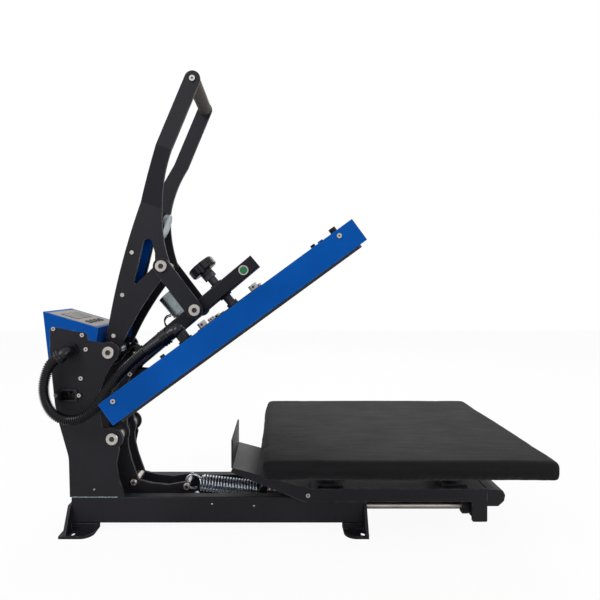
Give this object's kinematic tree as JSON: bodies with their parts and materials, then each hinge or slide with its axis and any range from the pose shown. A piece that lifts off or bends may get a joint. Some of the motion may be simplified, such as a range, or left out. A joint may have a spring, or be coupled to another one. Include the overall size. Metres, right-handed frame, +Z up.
{
  "type": "slide-out heat press",
  "caption": "Slide-out heat press: a sprung arm with a magnet latch over a padded lower platen on a sliding drawer, with a control box on a slotted steel base",
  "frame": {"origin": "centre of the press's plan outline, on the table under its feet, with the arm open and the drawer slid out", "axes": "+X forward, the way the drawer slides out; +Y to the left of a user who faces -X; +Z up"},
  "size_m": [0.824, 0.424, 0.7912],
  "materials": {
    "black_paint": "fine-textured black powder coat",
    "blue_paint": "semi-gloss blue powder coat",
    "bright_steel": "bright zinc-plated steel",
    "zinc_steel": "pale zinc-plated steel, turned",
    "bronze": "sintered bronze, dull",
    "spring_steel": "drawn spring wire, plated",
    "dark_steel": "blackened steel",
    "cast_aluminium": "machined cast aluminium",
    "black_coating": "cast aluminium under a black non-stick coat",
    "black_plastic": "satin black moulded plastic",
    "panel_plastic": "pale printed film",
    "button_green": "translucent green lens",
    "grip_foam": "brown-grey foam sleeve",
    "black_rubber": "matt black rubber",
    "silicone": "orange silicone foam",
    "pad_cloth": "black woven cover",
    "mineral_board": "pressed mineral wool"
  },
  "bodies": {
    "base": {"rail_near": "black_paint", "rail_far": "black_paint", "rear_cross_bar": "black_paint", "bearing_blocks": "black_paint", "rod_bushes": "bronze", "feet": "black_paint", "side_plate_near": "black_paint", "side_plate_far": "black_paint", "plate_screws": "bright_steel", "pivot_shafts": "bright_steel", "control_box": "blue_paint", "control_panel": "panel_plastic", "mains_inlet": "black_plastic", "switch_housing": "black_plastic", "conduit_gland": "black_plastic", "spring_anchor": "bright_steel", "power_conduit": "black_plastic", "extension_spring": "spring_steel", "beam_cable": "black_plastic"},
    "rocker": {"switch_rocker": "black_plastic"},
    "upper_arm": {"swing_lever_near": "black_paint", "swing_lever_far": "black_paint", "lever_bolts": "bright_steel", "main_beam": "black_paint", "beam_bosses": "black_paint", "electromagnet": "zinc_steel", "button_bezel": "bright_steel", "beam_wiring": "black_plastic"},
    "button": {"button_cap": "button_green"},
    "pressure_foot": {"swivel_foot": "dark_steel"},
    "pressure_screw": {"pressure_knob": "black_plastic", "pressure_spindle": "dark_steel"},
    "heat_head": {"head_cover": "blue_paint", "heating_platen": "black_coating", "insulation_board": "mineral_board", "head_hinge_bracket": "black_paint", "head_fasteners": "bright_steel", "head_straps": "black_paint", "conduit_elbow": "black_plastic"},
    "handle": {"handle_arm_near": "black_paint", "handle_arm_far": "black_paint", "hand_grip": "grip_foam", "handle_screws": "bright_steel", "link_shaft": "bright_steel", "handle_shroud": "blue_paint", "armature": "zinc_steel"},
    "link_pair": {"links": "black_paint", "link_bolts": "bright_steel"},
    "drawer": {"flank_near": "black_paint", "flank_far": "black_paint", "drawer_deck": "black_paint", "drawer_front_plate": "black_paint", "guide_rods": "bright_steel", "rod_bumpers": "black_rubber", "pull_bar": "black_paint", "drawer_screws": "bright_steel", "platen_posts": "black_paint", "lower_platen": "cast_aluminium", "silicone_pad": "silicone", "pad_cover": "pad_cloth"}
  },
  "joints": [
    {"name": "arm_hinge", "type": "hinge", "parent": "base", "child": "upper_arm", "pos_m": [-0.2921, 0, 0.1607], "axis": [0, 1, 0], "range_deg": [0, 42], "stiffness_Nm_per_rad": 30, "springref_deg": -91.67, "deforming": ["extension_spring", "power_conduit", "beam_cable"]},
    {"name": "handle_hinge", "type": "hinge", "parent": "base", "child": "handle", "pos_m": [-0.2987, 0, 0.31], "axis": [0, 1, 0], "range_deg": [0, 72.85]},
    {"name": "link_hinge", "type": "hinge", "parent": "handle", "child": "link_pair", "pos_m": [-0.2114, 0, 0.4601], "axis": [0, 1, 0], "range_deg": [-102.2, 0]},
    {"name": "head_tilt", "type": "hinge", "parent": "upper_arm", "child": "heat_head", "pos_m": [-0.27264, 0, 0.26606], "axis": [0, 1, 0], "range_deg": [-5.8, 0]},
    {"name": "pressure_travel", "type": "slide", "parent": "upper_arm", "child": "pressure_foot", "axis": [0.6428, 0, -0.766], "range_m": [-0.004, 0.004]},
    {"name": "knob_turn", "type": "hinge", "parent": "pressure_foot", "child": "pressure_screw", "pos_m": [-0.14506, 0, 0.45848], "axis": [0.6428, 0, -0.766], "range_deg": [-720, 720]},
    {"name": "drawer_slide", "type": "slide", "parent": "base", "child": "drawer", "axis": [1, 0, 0], "range_m": [-0.172, 0]},
    {"name": "release_button", "type": "slide", "parent": "upper_arm", "child": "button", "axis": [0, 1, 0], "range_m": [0, 0.002], "stiffness_N_per_m": 500},
    {"name": "power_rocker", "type": "hinge", "parent": "base", "child": "rocker", "pos_m": [-0.3683, 0.062, 0.2366], "axis": [0, 0, 1], "range_deg": [0, 14]}
  ],
  "couplings": [
    {"joint": "handle_hinge", "follows": "arm_hinge", "ratio": 1.7343},
    {"joint": "link_hinge", "follows": "arm_hinge", "ratio": -2.4331},
    {"joint": "head_tilt", "follows": "arm_hinge", "ratio": -0.13809},
    {"joint": "knob_turn", "follows": "pressure_travel", "rad_per_m": 3141.6}
  ]
}
